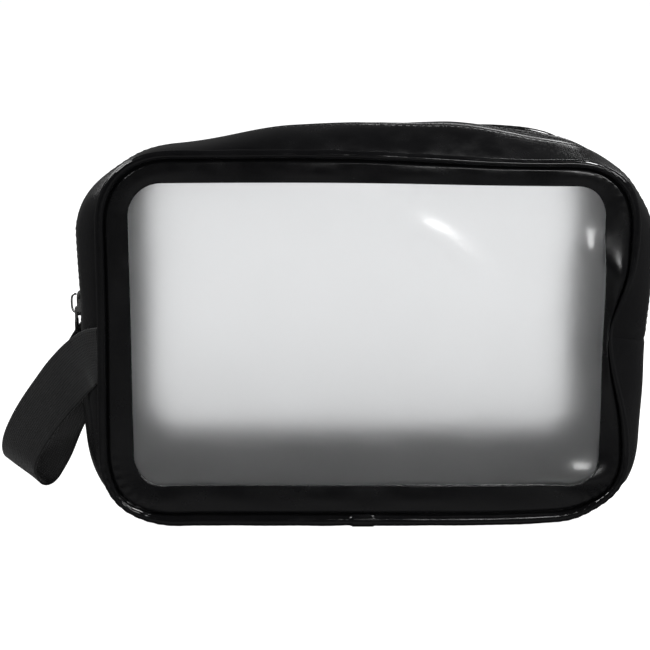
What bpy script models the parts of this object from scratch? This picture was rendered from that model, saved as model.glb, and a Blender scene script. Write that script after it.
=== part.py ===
"""Makeup bag: black coated-fabric case with frosted windows front and back, piped seams, a two-strip zip gusset,
a bottom gusset and a side handle of webbing.

X runs across the front (handle at -X), Y runs front to back (front at -Y), Z is up. The origin is the middle of the
flat underside. The front panel and the front half of the zip gusset are split along one level line, the fold line of
the mouth, so that the part above it can tip forward.
"""

import math

import bmesh
import bpy
from mathutils import Matrix, Vector

for ob in list(bpy.data.objects):
    bpy.data.objects.remove(ob, do_unlink=True)

MM = 0.001

# ---- driving dimensions -------------------------------------------------------------------------------------------
HALF_W = 119.5 * MM       # piping centre line, half of its width
Z_BOTTOM = 4.4 * MM       # piping centre line at the bottom
Z_TOP = 175.2 * MM        # piping centre line at the top
CORNER = 34.0 * MM        # how far a rounded corner reaches along each side
CORNER_N = 2.3            # roundness of the corner curve, 2 is a circle
CORNER_STEPS = 6

PIPE_Y = 36.0 * MM        # piping centre line, distance from the middle plane
PIPE_R = 2.1 * MM
PIPE_WALL = 0.6 * MM
CORD_R = 1.2 * MM
FACE_Y = 36.2 * MM        # outer face of the front and back borders
BORDER_T = 1.0 * MM
BORDER_INSET = 2.5 * MM   # border's outer edge, inside the piping centre line

WINDOW_HALF_W = 106.5 * MM
WINDOW_Z = (20.3 * MM, 162.3 * MM)
WINDOW_R = 15.0 * MM
WINDOW_LAP = 6.0 * MM     # the clear sheet's lap behind the border
SHEET_T = 0.5 * MM
CLEAR = 0.3 * MM          # room left between two pieces that are sewn or welded together

GUSSET_T = 1.0 * MM
GUSSET_EDGE_Y = 33.4 * MM
GUSSET_EDGE_U = -0.3 * MM
BULGE_SIDE = 15.0 * MM
BULGE_TOP = 7.5 * MM      # over the corner's, eases down to nothing between the two distances below
TOP_EASE_X = (100.0 * MM, 34.0 * MM)   # from the middle plane, along the top
SIDE_EASE_Z = (176.0 * MM, 134.0 * MM)  # heights, along the sides
BULGE_BOTTOM = Z_BOTTOM
CORNER_BULGE = 1.0 * MM   # what is left of it at the two upper corners
SEAM_Z = 84.0 * MM        # where the bottom gusset meets the zip gusset, both sides

HEM_Y = 6.5 * MM          # folded edges of the zip strips
HEM_W = 5.5 * MM
HEM_T = 1.9 * MM
TAPE_T = 0.6 * MM
TAPE_Y = (0.9 * MM, 13.0 * MM)
TAPE_DROP = 2.7 * MM
COIL_Y = (0.65 * MM, 3.25 * MM)
COIL_U = (-2.4 * MM, -0.4 * MM)
ZIP_END_Z = 88.5 * MM

FOLD_Z = 105.0 * MM       # fold line of the mouth
FOLD_GAP = 0.3 * MM
FOLD_Y = -(PIPE_Y + PIPE_R + 0.2 * MM)

WEB_W = 25.0 * MM         # handle webbing
WEB_T = 1.5 * MM
HANDLE_X = -139.8 * MM    # axis the loop swings on
HANDLE_Z = 64.0 * MM
HANDLE_SEAM_Z = 83.0 * MM
HANDLE_FOLD_Z = 71.0 * MM  # middle of the webbing where it leaves the gusset
HANDLE_Y = 15.7 * MM
LOOP_REACH = 54.0 * MM
LOOP_END_R = 5.0 * MM
LOOP_FALL = math.radians(64)

SLIDER_Z = 98.0 * MM
SLIDER_L = 11.0 * MM
SLIDER_W = 9.6 * MM
BAIL_R = 0.5 * MM
PULL_T = 0.9 * MM
PULL_L = 24.0 * MM
PULL_W = 6.6 * MM

part = bpy.data.collections.new("makeup_bag")
bpy.context.scene.collection.children.link(part)
cutters = bpy.data.collections.new("makeup_bag_cutters")
bpy.context.scene.collection.children.link(cutters)


# ---- helpers ------------------------------------------------------------------------------------------------------
def material(name, rgb, metallic=0.0, roughness=0.5, alpha=1.0):
    m = bpy.data.materials.new(name)
    m.use_nodes = True
    b = m.node_tree.nodes["Principled BSDF"]
    b.inputs["Base Color"].default_value = (*rgb, 1.0)
    b.inputs["Metallic"].default_value = metallic
    b.inputs["Roughness"].default_value = roughness
    b.inputs["Alpha"].default_value = alpha
    return m


def node(name, mesh, mat, origin=(0.0, 0.0, 0.0)):
    mesh.transform(Matrix.Translation(-Vector(origin)))
    ob = bpy.data.objects.new(name, mesh)
    ob.location = origin
    ob.data.materials.append(mat)
    part.objects.link(ob)
    return ob


def closed_mesh(name, bm):
    bmesh.ops.remove_doubles(bm, verts=bm.verts, dist=1e-7)
    bmesh.ops.recalc_face_normals(bm, faces=bm.faces)
    mesh = bpy.data.meshes.new(name)
    bm.to_mesh(mesh)
    bm.free()
    return mesh


def loft(name, rings, closed):
    """Skins equal-length rings of points. An open run gets an end cap at each end."""
    bm = bmesh.new()
    rows = [[bm.verts.new(p) for p in ring] for ring in rings]
    n = len(rows[0])
    spans = len(rows) if closed else len(rows) - 1
    for i in range(spans):
        a, b = rows[i], rows[(i + 1) % len(rows)]
        for k in range(n):
            bm.faces.new((a[k], a[(k + 1) % n], b[(k + 1) % n], b[k]))
    if not closed:
        bm.faces.new(rows[0])
        bm.faces.new(rows[-1])
    return closed_mesh(name, bm)


def ease(value, span):
    """0 at the first end of a span, 1 at the second, smooth between."""
    t = min(1.0, max(0.0, (value - span[0]) / (span[1] - span[0])))
    return t * t * (3 - 2 * t)


class Station:
    """A point of the outline, with the way out of the bag there."""

    def __init__(self, x, z, nx, nz):
        d = math.hypot(nx, nz)
        self.x, self.z, self.nx, self.nz = x, z, nx / d, nz / d

    def at(self, u, y):
        return Vector((self.x + u * self.nx, y, self.z + u * self.nz))

    def bulge(self):
        side = abs(self.nx) ** 1.5
        if self.nz < 0 or (self.nz == 0 and self.z < SEAM_Z):
            tall = BULGE_SIDE * (0.75 + 0.25 * ease(self.z, (10 * MM, 70 * MM)))
            return BULGE_BOTTOM + (tall - BULGE_BOTTOM) * side
        top = BULGE_TOP * ease(abs(self.x), TOP_EASE_X)
        return CORNER_BULGE + top + (BULGE_SIDE - CORNER_BULGE) * side * ease(self.z, SIDE_EASE_Z)

    def plateau(self):
        if self.nz < 0:
            return 0.60 - 0.52 * abs(self.nx) ** 1.5
        return 0.08


def corner(cx, cz, quarter):
    out = []
    for i in range(CORNER_STEPS + 1):
        t = math.radians(90 * quarter + 90 * i / CORNER_STEPS)
        c, s = math.cos(t), math.sin(t)
        c, s = (0.0 if abs(c) < 1e-9 else c), (0.0 if abs(s) < 1e-9 else s)
        px = math.copysign(abs(c) ** (2 / CORNER_N), c)
        pz = math.copysign(abs(s) ** (2 / CORNER_N), s)
        nx = math.copysign(abs(c) ** (2 - 2 / CORNER_N), c)
        nz = math.copysign(abs(s) ** (2 - 2 / CORNER_N), s)
        out.append(Station(cx + CORNER * px, cz + CORNER * pz, nx, nz))
    return out


IN_X = HALF_W - CORNER
LOW_Z, HIGH_Z = Z_BOTTOM + CORNER, Z_TOP - CORNER


def lower_path(z):
    """Left side at height z, down, across the bottom, up to height z on the right."""
    left = [Station(-HALF_W, z, -1, 0), Station(-HALF_W, 0.5 * (z + LOW_Z), -1, 0)]
    right = [Station(HALF_W, 0.5 * (z + LOW_Z), 1, 0), Station(HALF_W, z, 1, 0)]
    middle = [Station(0.0, Z_BOTTOM, 0, -1)]
    return left + corner(-IN_X, LOW_Z, 2) + middle + corner(IN_X, LOW_Z, 3) + right


def upper_path(z):
    """Right side at height z, up, across the top, down to height z on the left."""
    middle = [Station(x * MM, Z_TOP, 0, 1) for x in (70, 52, 30, 0, -30, -52, -70)]
    right = [Station(HALF_W, z, 1, 0), Station(HALF_W, SIDE_EASE_Z[1], 1, 0)]
    left = [Station(-HALF_W, SIDE_EASE_Z[1], -1, 0), Station(-HALF_W, z, -1, 0)]
    return right + corner(IN_X, HIGH_Z, 0) + middle + corner(-IN_X, HIGH_Z, 1) + left


def ring_path():
    return (
        corner(IN_X, HIGH_Z, 0) + corner(-IN_X, HIGH_Z, 1)
        + corner(-IN_X, LOW_Z, 2) + [Station(0.0, Z_BOTTOM, 0, -1)] + corner(IN_X, LOW_Z, 3)
    )


def side_path(sign, z0, z1):
    return [Station(sign * HALF_W, z0, sign, 0), Station(sign * HALF_W, z1, sign, 0)]


def skin_u(st, y):
    """Outer surface of the gusset: how far out of the outline it stands at depth y."""
    t = min(1.0, abs(y) / GUSSET_EDGE_Y)
    t0 = st.plateau()
    k = 0.0 if t <= t0 else (t - t0) / (1 - t0)
    return GUSSET_EDGE_U + (st.bulge() - GUSSET_EDGE_U) * (1 - k ** 2.2) ** 0.8


def skin_normal(st, y):
    e = 0.05 * MM
    y0, y1 = max(-GUSSET_EDGE_Y, y - e), min(GUSSET_EDGE_Y, y + e)
    du, dy = skin_u(st, y1) - skin_u(st, y0), y1 - y0
    d = math.hypot(du, dy)
    return dy / d, -du / d


def skin_ring(st, ys, thickness):
    """Section of a gusset strip: outer points, then inner points back."""
    outer, inner = [], []
    for y in ys:
        u, (nu, ny) = skin_u(st, y), skin_normal(st, y)
        t = thickness(y)
        outer.append(st.at(u, y))
        inner.append(st.at(u - t * nu, max(-GUSSET_EDGE_Y, min(GUSSET_EDGE_Y, y - t * ny))))
    return outer + inner[::-1]


def strip(name, path, ys, thickness):
    return loft(name, [skin_ring(s, ys, thickness) for s in path], False)


def plate(name, outlines, y0, thickness, hole=None):
    """A flat panel in the X-Z plane, drawn as a filled curve and given its thickness."""
    curve = bpy.data.curves.new(name + "_outline", "CURVE")
    curve.dimensions = "2D"
    curve.fill_mode = "BOTH"
    curve.extrude = thickness / 2
    for pts in [outlines] + ([hole] if hole else []):
        sp = curve.splines.new("POLY")
        sp.points.add(len(pts) - 1)
        for p, (x, z) in zip(sp.points, pts):
            p.co = (x, z, 0.0, 1.0)
        sp.use_cyclic_u = True
    ob = bpy.data.objects.new(name + "_outline", curve)
    ob.rotation_euler = (math.radians(90), 0.0, 0.0)
    ob.location = (0.0, y0 + thickness / 2, 0.0)
    cutters.objects.link(ob)
    bpy.context.view_layer.update()
    mesh = bpy.data.meshes.new_from_object(ob)
    mesh.transform(ob.matrix_world)
    bpy.data.objects.remove(ob, do_unlink=True)
    bpy.data.curves.remove(curve)
    bm = bmesh.new()
    bm.from_mesh(mesh)
    bpy.data.meshes.remove(mesh)
    return closed_mesh(name, bm)


def offset_points(path, u):
    return [(s.x + u * s.nx, s.z + u * s.nz) for s in path]


def rounded_rect(half_w, z0, z1, r, steps=5):
    pts = []
    for q, (cx, cz) in enumerate(
        [(half_w - r, z1 - r), (-half_w + r, z1 - r), (-half_w + r, z0 + r), (half_w - r, z0 + r)]
    ):
        for i in range(steps + 1):
            t = math.radians(90 * q + 90 * i / steps)
            pts.append((cx + r * math.cos(t), cz + r * math.sin(t)))
    return pts


def clip_to(pts, z, keep_above):
    """The part of a convex outline above or below a level line, as an open run that ends on the line."""
    n, run = len(pts), []
    inside = [(p[1] > z) == keep_above for p in pts]
    start = next(i for i in range(n) if inside[i] and not inside[i - 1])
    a, b = pts[start - 1], pts[start]
    run.append((a[0] + (b[0] - a[0]) * (z - a[1]) / (b[1] - a[1]), z))
    i = start
    while inside[i % n]:
        run.append(pts[i % n])
        i += 1
    a, b = pts[(i - 1) % n], pts[i % n]
    run.append((a[0] + (b[0] - a[0]) * (z - a[1]) / (b[1] - a[1]), z))
    return run


def box(name, lo, hi):
    bm = bmesh.new()
    bmesh.ops.create_cube(bm, size=1.0)
    for v in bm.verts:
        v.co = Vector([lo[k] + (v.co[k] + 0.5) * (hi[k] - lo[k]) for k in range(3)])
    return closed_mesh(name, bm)


def united(name, base, others):
    """Joins overlapping solids into one body."""
    ob = bpy.data.objects.new(name + "_base", base)
    cutters.objects.link(ob)
    tools = []
    for i, mesh in enumerate(others):
        tool = bpy.data.objects.new(f"{name}_tool_{i}", mesh)
        tool.hide_render = True
        tool.display_type = "WIRE"
        cutters.objects.link(tool)
        mod = ob.modifiers.new(f"join_{i}", "BOOLEAN")
        mod.operation, mod.solver, mod.object = "UNION", "EXACT", tool
        tools.append(tool)
    dg = bpy.context.evaluated_depsgraph_get()
    mesh = bpy.data.meshes.new_from_object(ob.evaluated_get(dg))
    for t in tools + [ob]:
        bpy.data.objects.remove(t, do_unlink=True)
    bm = bmesh.new()
    bm.from_mesh(mesh)
    bpy.data.meshes.remove(mesh)
    return closed_mesh(name, bm)


# ---- materials ----------------------------------------------------------------------------------------------------
def coat(name):
    return material(name, (0.012, 0.012, 0.013), roughness=0.28)


def clear(name):
    return material(name, (0.80, 0.81, 0.82), roughness=0.4, alpha=0.5)


def cloth(name):
    return material(name, (0.020, 0.020, 0.021), roughness=0.9)


def metal(name):
    return material(name, (0.62, 0.63, 0.65), metallic=1.0, roughness=0.22)


# ---- front and back panels ----------------------------------------------------------------------------------------
ring = ring_path()
edge = offset_points(ring, -BORDER_INSET)
opening = rounded_rect(WINDOW_HALF_W, WINDOW_Z[0], WINDOW_Z[1], WINDOW_R)
sheet = rounded_rect(
    WINDOW_HALF_W + WINDOW_LAP, WINDOW_Z[0] - WINDOW_LAP, WINDOW_Z[1] + WINDOW_LAP, WINDOW_R + WINDOW_LAP
)
UP, DOWN = FOLD_Z + FOLD_GAP, FOLD_Z - FOLD_GAP
for label, z, above in (("upper", UP, True), ("lower", DOWN, False)):
    outer = clip_to(edge, z, above)
    inner = clip_to(opening, z, above)
    name = "front_border_" + label
    node(name, plate(name, outer + inner[::-1], -FACE_Y, BORDER_T), coat(name))
    name = "front_window_" + label
    y0 = -FACE_Y + BORDER_T + CLEAR
    node(name, plate(name, clip_to(sheet, z, above), y0, SHEET_T), clear(name))

node("back_border", plate("back_border", edge, FACE_Y - BORDER_T, BORDER_T, hole=opening), coat("back_border"))
node("back_window", plate("back_window", sheet, FACE_Y - BORDER_T - CLEAR - SHEET_T, SHEET_T), clear("back_window"))


# ---- piping, its cord and the binding inside the seam -------------------------------------------------------------
def piping_section(sign):
    """Cover wrapped round the cord, its two lips running inwards to the seam."""
    way = math.radians(135)
    half = math.asin(0.7 * MM / PIPE_R)
    inner_r = PIPE_R - PIPE_WALL
    half_in = math.asin(0.25 * MM / inner_r)
    lip = 7.0 * MM
    pts = []
    steps = 10
    for i in range(steps + 1):
        a = way + half + (2 * math.pi - 2 * half) * i / steps
        pts.append((PIPE_R * math.cos(a), PIPE_R * math.sin(a)))
    d = Vector((math.cos(way), math.sin(way)))
    n = Vector((-d.y, d.x))
    pts.append(tuple(d * lip - n * 0.7 * MM))
    pts.append(tuple(d * lip - n * 0.25 * MM))
    for i in range(steps + 1):
        a = way + 2 * math.pi - half_in - (2 * math.pi - 2 * half_in) * i / steps
        pts.append((inner_r * math.cos(a), inner_r * math.sin(a)))
    pts.append(tuple(d * lip + n * 0.25 * MM))
    pts.append(tuple(d * lip + n * 0.7 * MM))
    return [(u, sign * (PIPE_Y - y)) for u, y in pts]


def binding_section(sign):
    """Folded tape over the seam's raw edges."""
    way = math.radians(135)
    d = Vector((math.cos(way), math.sin(way)))
    n = Vector((-d.y, d.x))
    a, b, t, w = 4.4 * MM, 9.0 * MM, 0.6 * MM, 1.15 * MM
    pts = [
        d * a + n * (w + t), d * b + n * (w + t), d * b - n * (w + t), d * a - n * (w + t),
        d * a - n * w, d * (b - t) - n * w, d * (b - t) + n * w, d * a + n * w,
    ]
    return [(p.x, sign * (PIPE_Y - p.y)) for p in pts]


def cord_section(sign):
    pts = []
    for i in range(6):
        a = math.radians(60 * i)
        pts.append((CORD_R * math.cos(a), sign * PIPE_Y + CORD_R * math.sin(a)))
    return pts


def sweep(name, path, section, closed):
    return loft(name, [[s.at(u, y) for u, y in section] for s in path], closed)


for kind, section, mat in (
    ("piping", piping_section, coat),
    ("cord", cord_section, cloth),
    ("binding", binding_section, cloth),
):
    for label, path, closed, sign in (
        ("front_%s_upper", upper_path(UP), False, -1),
        ("front_%s_lower", lower_path(DOWN), False, -1),
        ("back_%s", ring, True, 1),
    ):
        name = label % kind
        node(name, sweep(name, path, section(sign), closed), mat(name))


# ---- gussets ------------------------------------------------------------------------------------------------------
def even(a, b, n):
    return [a + (b - a) * i / (n - 1) for i in range(n)]


def plain(y):
    return GUSSET_T


def hemmed(y):
    return HEM_T if abs(y) < HEM_Y + HEM_W else GUSSET_T


G = GUSSET_EDGE_Y
bottom_ys = [-G, -0.96 * G, -0.88 * G, -0.76 * G, -0.60 * G, -0.3 * G]
bottom_ys = bottom_ys + [0.0] + [-y for y in bottom_ys[::-1]]
node("bottom_gusset", strip("bottom_gusset", lower_path(SEAM_Z), bottom_ys, plain), coat("bottom_gusset"))

half_ys = [-G, -0.96 * G, -0.88 * G, -0.74 * G, -0.56 * G, -12.3 * MM, -11.9 * MM, -HEM_Y]
back_ys = [-y for y in half_ys[::-1]]
ZS = SEAM_Z + 2 * CLEAR
node("zip_strip_front", strip("zip_strip_front", upper_path(UP), half_ys, hemmed), coat("zip_strip_front"))
node("zip_strip_back", strip("zip_strip_back", upper_path(ZS), back_ys, hemmed), coat("zip_strip_back"))
for label, sign in (("left", -1), ("right", 1)):
    name = "zip_strip_front_" + label
    node(name, strip(name, side_path(sign, ZS, DOWN), half_ys, hemmed), coat(name))


def seam_ring(st):
    """Turned-in edges of the side seam, just inside the gusset."""
    outer, inner = [], []
    for y in even(-0.90 * G, 0.90 * G, 9):
        u, (nu, ny) = skin_u(st, y), skin_normal(st, y)
        for row, t in ((outer, GUSSET_T + HEM_T + CLEAR), (inner, GUSSET_T + HEM_T + CLEAR + 1.2 * MM)):
            row.append(st.at(u - t * nu, y - t * ny))
    return outer + inner[::-1]


for label, sign in (("left", -1), ("right", 1)):
    name = "side_seam_" + label
    path = side_path(sign, SEAM_Z - 5 * MM, SEAM_Z + 3.5 * MM)
    node(name, loft(name, [seam_ring(s) for s in path], False), cloth(name))


# ---- zip ----------------------------------------------------------------------------------------------------------
def tape_ring(st, sign):
    ys = [TAPE_Y[0], 3.6 * MM, HEM_Y, 0.5 * (HEM_Y + TAPE_Y[1]), TAPE_Y[1]]
    us = [min(skin_u(st, y) - 2.35 * MM, st.bulge() - TAPE_DROP) for y in ys]
    outer = [st.at(u, sign * y) for u, y in zip(us, ys)]
    inner = [st.at(u - TAPE_T, sign * y) for u, y in zip(us, ys)]
    return outer + inner[::-1]


def coil_ring(st, sign):
    y0, y1 = COIL_Y
    u0, u1 = COIL_U
    c, e, b = 0.7 * MM, 0.5 * MM, st.bulge()
    pts = [
        (u0, y0 + c), (u0, y1 - c), (u0 + e, y1), (u1 - e, y1),
        (u1, y1 - c), (u1, y0 + c), (u1 - e, y0), (u0 + e, y0),
    ]
    return [st.at(b + u, sign * y) for u, y in pts]


for kind, section, mat, end in (("tape", tape_ring, cloth, SEAM_Z + 4 * MM), ("coil", coil_ring, coat, ZIP_END_Z)):
    for label, path, sign in (
        ("zip_%s_front", upper_path(UP), -1),
        ("zip_%s_back", upper_path(end), 1),
        ("zip_%s_front_left", side_path(-1, end, DOWN), -1),
        ("zip_%s_front_right", side_path(1, end, DOWN), -1),
    ):
        name = label % kind
        node(name, loft(name, [section(s, sign) for s in path], False), mat(name))

# ---- slider, bail and pull ----------------------------------------------------------------------------------------
BULGE_X = -(HALF_W + BULGE_SIDE)


def out_x(u):
    return BULGE_X - u


def side_plate(name, pts, u0, u1, hole=None):
    """A plate in the Y-Z plane between two distances out of the side, from points across and up."""
    curve = bpy.data.curves.new(name + "_outline", "CURVE")
    curve.dimensions = "2D"
    curve.fill_mode = "BOTH"
    curve.extrude = abs(u1 - u0) / 2
    for run in [pts] + ([hole] if hole else []):
        sp = curve.splines.new("POLY")
        sp.points.add(len(run) - 1)
        for p, (y, z) in zip(sp.points, run):
            p.co = (y, z, 0.0, 1.0)
        sp.use_cyclic_u = True
    ob = bpy.data.objects.new(name + "_outline", curve)
    ob.rotation_euler = (math.radians(90), 0.0, math.radians(90))
    ob.location = (out_x(0.5 * (u0 + u1)), 0.0, 0.0)
    cutters.objects.link(ob)
    bpy.context.view_layer.update()
    mesh = bpy.data.meshes.new_from_object(ob)
    mesh.transform(ob.matrix_world)
    bpy.data.objects.remove(ob, do_unlink=True)
    bpy.data.curves.remove(curve)
    bm = bmesh.new()
    bm.from_mesh(mesh)
    bpy.data.meshes.remove(mesh)
    return closed_mesh(name, bm)


lo_z, hi_z = SLIDER_Z - SLIDER_L / 2, SLIDER_Z + SLIDER_L / 2
hw = SLIDER_W / 2
shield = []
for y, dz in ((0.45, 0.0), (0.8, 0.06), (1.0, 0.22), (1.0, 0.6), (0.94, 0.85), (0.7, 0.97), (0.35, 1.0)):
    shield.append((y * hw, lo_z + dz * SLIDER_L))
shield = shield + [(-y, z) for y, z in shield[::-1]]
outer_plate = side_plate("outer_plate", shield, 0.1 * MM, 1.3 * MM)
inner_plate = side_plate("inner_plate", shield, -5.0 * MM, -3.9 * MM)
flange_z = (lo_z + 2.4 * MM, hi_z - 2.4 * MM)
extras = [inner_plate]
for sign in (-1, 1):
    y0, y1 = sorted((sign * (hw - 1.0 * MM), sign * (hw - 0.05 * MM)))
    extras.append(box("flange", (out_x(0.7 * MM), y0, flange_z[0]), (out_x(-2.15 * MM), y1, flange_z[1])))
post_z = (lo_z + 0.6 * MM, lo_z + 3.6 * MM)
extras.append(box("post", (out_x(0.7 * MM), -0.33 * MM, post_z[0]), (out_x(-4.5 * MM), 0.33 * MM, post_z[1])))
slider_origin = (BULGE_X, 0.0, SLIDER_Z)
node("slider_body", united("slider_body", outer_plate, extras), metal("slider_body"), slider_origin)

bail_curve = bpy.data.curves.new("bail_line", "CURVE")
bail_curve.dimensions = "3D"
bail_curve.bevel_depth = BAIL_R
bail_curve.bevel_resolution = 1
bail_curve.use_fill_caps = True
sp = bail_curve.splines.new("POLY")
steps = 12
sp.points.add(steps)
for i in range(steps + 1):
    a = math.pi * i / steps
    c, s = math.cos(a), math.sin(a)
    dz = -4.5 * MM * math.copysign(abs(c) ** (2 / 3), c) if abs(c) > 1e-9 else 0.0
    du = 2.9 * MM * (abs(s) ** (2 / 3) if abs(s) > 1e-9 else 0.0)
    sp.points[i].co = (out_x(1.6 * MM + du), 0.0, SLIDER_Z + dz, 1.0)
bail_ob = bpy.data.objects.new("bail_line", bail_curve)
cutters.objects.link(bail_ob)
bpy.context.view_layer.update()
bail_mesh = bpy.data.meshes.new_from_object(bail_ob)
bpy.data.objects.remove(bail_ob, do_unlink=True)
bpy.data.curves.remove(bail_curve)
bm = bmesh.new()
bm.from_mesh(bail_mesh)
bpy.data.meshes.remove(bail_mesh)
node("slider_bail", closed_mesh("slider_bail", bm), metal("slider_bail"), slider_origin)

PULL_U = 2.45 * MM
PULL_Z = SLIDER_Z - 2.4 * MM
arm, pw = 1.95 * MM, PULL_W / 2
pull = [
    (arm - 0.4 * MM, 0.5 * MM), (arm, 0.1 * MM), (arm, -4.2 * MM), (pw, -6.4 * MM), (pw, -PULL_L + 2.6 * MM),
    (0.72 * pw, -PULL_L + 0.7 * MM), (0.3 * pw, -PULL_L),
]
pull = [(y, PULL_Z + z) for y, z in pull]
pull = pull + [(-y, z) for y, z in pull[::-1]]
eye = [(0.9 * MM, -0.5 * MM), (0.9 * MM, -4.5 * MM), (0.5 * MM, -5.0 * MM)]
eye = [(y, PULL_Z + z) for y, z in eye]
eye = eye + [(-y, z) for y, z in eye[::-1]]
pull_mesh = side_plate("pull_tab", pull, PULL_U - PULL_T / 2, PULL_U + PULL_T / 2, hole=eye)
node("pull_tab", pull_mesh, metal("pull_tab"), (out_x(PULL_U), 0.0, PULL_Z))


# ---- handle -------------------------------------------------------------------------------------------------------
def ribbon_ring(centre, width, normal, half_w, half_t):
    w, n = width * half_w, normal * half_t
    return [centre - w - n, centre + w - n, centre + w + n, centre - w + n]


def unit(v):
    return v / v.length


def handle_end(name, sign):
    """Sewn end: lies on the gusset, then a tongue that narrows towards the swing axis."""
    st = Station(-HALF_W, SEAM_Z, -1, 0)
    rings = []
    depths = (33.0, 31.0, 28.0, 24.0, 20.0)
    for i, d in enumerate(depths):
        y = -d * MM
        u, (nu, ny) = skin_u(st, y), skin_normal(st, y)
        t = CLEAR + WEB_T / 2
        z = HANDLE_FOLD_Z + (HANDLE_SEAM_Z - HANDLE_FOLD_Z) * (1 - i / (len(depths) - 1)) ** 1.2
        c = Vector((-(HALF_W + u + t * nu), sign * -(y + t * ny), z))
        n = Vector((-nu, sign * -ny, 0.0))
        rings.append(ribbon_ring(c, Vector((0, 0, -1)), n, WEB_W / 2, WEB_T / 2))
    base = Vector((-135.3 * MM, sign * (HANDLE_Y + 1.3 * MM), HANDLE_Z + 2.2 * MM))
    tip = Vector((-139.2 * MM, sign * HANDLE_Y, HANDLE_Z))
    n = Vector((-0.45, sign * 0.9, 0)).normalized()
    rings.append(ribbon_ring(base, Vector((0, 0, -1)), n, 5.4 * MM, WEB_T / 2))
    n = Vector((-0.2, sign * 1.0, 0)).normalized()
    rings.append(ribbon_ring(tip, Vector((0, 0, -1)), n, 0.5 * MM, WEB_T / 2))
    return loft(name, rings, False)


node("handle_end_front", handle_end("handle_end_front", -1), cloth("handle_end_front"))
node("handle_end_back", handle_end("handle_end_back", 1), cloth("handle_end_back"))


def loop_line():
    """Plan of the loop: distance out from the axis and depth, front root to back root."""
    straight = LOOP_REACH - LOOP_END_R
    run = []
    for i in range(15):
        k = i / 14
        run.append((straight * k, -(HANDLE_Y + (LOOP_END_R - HANDLE_Y) * (k * k * (3 - 2 * k) * 0.45 + 0.55 * k))))
    turn = [
        (straight + LOOP_END_R * math.cos(math.radians(a)), LOOP_END_R * math.sin(math.radians(a)))
        for a in (-60, -30, 0, 30, 60)
    ]
    return run + turn + [(r, -y) for r, y in run[::-1]]


line = loop_line()
rings = []
for i, (r, y) in enumerate(line):
    a, b = line[max(0, i - 1)], line[min(len(line) - 1, i + 1)]
    k = min(1.0, r / (30 * MM))
    k = k * k * (3 - 2 * k)
    tilt = math.radians(27 + 25 * k)
    fall = Vector((-math.cos(LOOP_FALL), 0, -math.sin(LOOP_FALL)))
    width = unit(Vector((math.sin(tilt), -0.55 * k, -math.cos(tilt))))
    along = fall * (b[0] - a[0]) + Vector((0, 1, 0)) * (b[1] - a[1])
    normal = unit(width.cross(along))
    c = Vector((HANDLE_X, 0, HANDLE_Z)) + fall * r + Vector((0, y, 0))
    rings.append(ribbon_ring(c, width, normal, WEB_W / 2, WEB_T / 2))
node("handle_loop", loft("handle_loop", rings, False), cloth("handle_loop"), (HANDLE_X, 0.0, HANDLE_Z))
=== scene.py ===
"""Looks of the makeup bag: glossy black coated fabric, frosted windows, piping, a two-strip zip gusset and a webbing
side handle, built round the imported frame. Lengths are in millimetres until a mesh is made."""

import math

import bmesh
import bpy
import numpy as np
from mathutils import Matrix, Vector


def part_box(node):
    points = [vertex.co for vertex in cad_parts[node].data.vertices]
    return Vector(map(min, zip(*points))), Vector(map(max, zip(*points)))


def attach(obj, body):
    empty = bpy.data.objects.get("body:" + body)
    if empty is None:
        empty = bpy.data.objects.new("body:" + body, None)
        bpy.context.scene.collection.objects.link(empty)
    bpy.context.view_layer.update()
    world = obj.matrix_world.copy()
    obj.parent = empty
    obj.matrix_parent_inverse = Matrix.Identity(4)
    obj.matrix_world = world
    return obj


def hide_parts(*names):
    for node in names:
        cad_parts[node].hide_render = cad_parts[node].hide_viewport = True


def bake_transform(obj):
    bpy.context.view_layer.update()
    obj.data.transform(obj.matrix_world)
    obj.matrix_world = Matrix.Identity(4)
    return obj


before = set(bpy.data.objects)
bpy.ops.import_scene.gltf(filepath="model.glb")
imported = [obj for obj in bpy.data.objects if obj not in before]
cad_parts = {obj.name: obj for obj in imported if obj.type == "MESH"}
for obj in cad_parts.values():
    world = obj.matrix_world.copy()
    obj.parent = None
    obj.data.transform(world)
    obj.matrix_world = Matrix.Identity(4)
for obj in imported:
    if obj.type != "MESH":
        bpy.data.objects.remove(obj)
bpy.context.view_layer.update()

MM = 0.001
DEPTH_WAY = np.array([0.0, 1.0, 0.0])   # from the front of the bag to its back

# ---- the frame's own sizes ---------------------------------------------------
PIPE_R = 2.1   # the round piping
_low, _high = (np.array(c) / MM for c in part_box("back_piping"))
HALF_W = _high[0] - PIPE_R   # the piping's centre line
PIPE_Y = _high[1] - PIPE_R
Z_BOTTOM, Z_TOP = _low[2] + PIPE_R, _high[2] - PIPE_R
CORNER, CORNER_N = 34.0, 2.3   # size of a corner, and the power of its curve, 2 being round
PIPE_WALL, CORD_R = 0.6, 1.2
FACE_Y, BORDER_T = 36.2, 1.0   # depth of a panel's face, and its thickness
WINDOW_HALF_W, WINDOW_Z, WINDOW_R, WINDOW_LAP = 106.5, (20.3, 162.3), 15.0, 6.0
SHEET_T, CLEAR = 0.5, 0.3
GUSSET_T, EDGE_Y, EDGE_U = 1.0, 33.4, -0.3   # thickness, and the depth and distance out of the sewn edge
BULGE_SIDE, BULGE_TOP, CORNER_BULGE, BULGE_BOTTOM = 15.0, 7.5, 1.0, 4.4
TOP_EASE_X, SIDE_EASE_Z = (100.0, 34.0), (176.0, 134.0)
SIDE_POWER = 1.5   # how fast the side bulge fades as the outline turns level
FOOT_BULGE, FOOT_Z, FOOT_H = (0.75, 0.25), 10.0, 60.0   # share of the side bulge at the foot, and the rest above it
PLATEAU_SIDE, PLATEAU_BOTTOM = 0.08, 0.52
GATHER_POWER, GATHER_LOWER, GATHER_UPPER = 0.7, 1.0, 0.25
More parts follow.
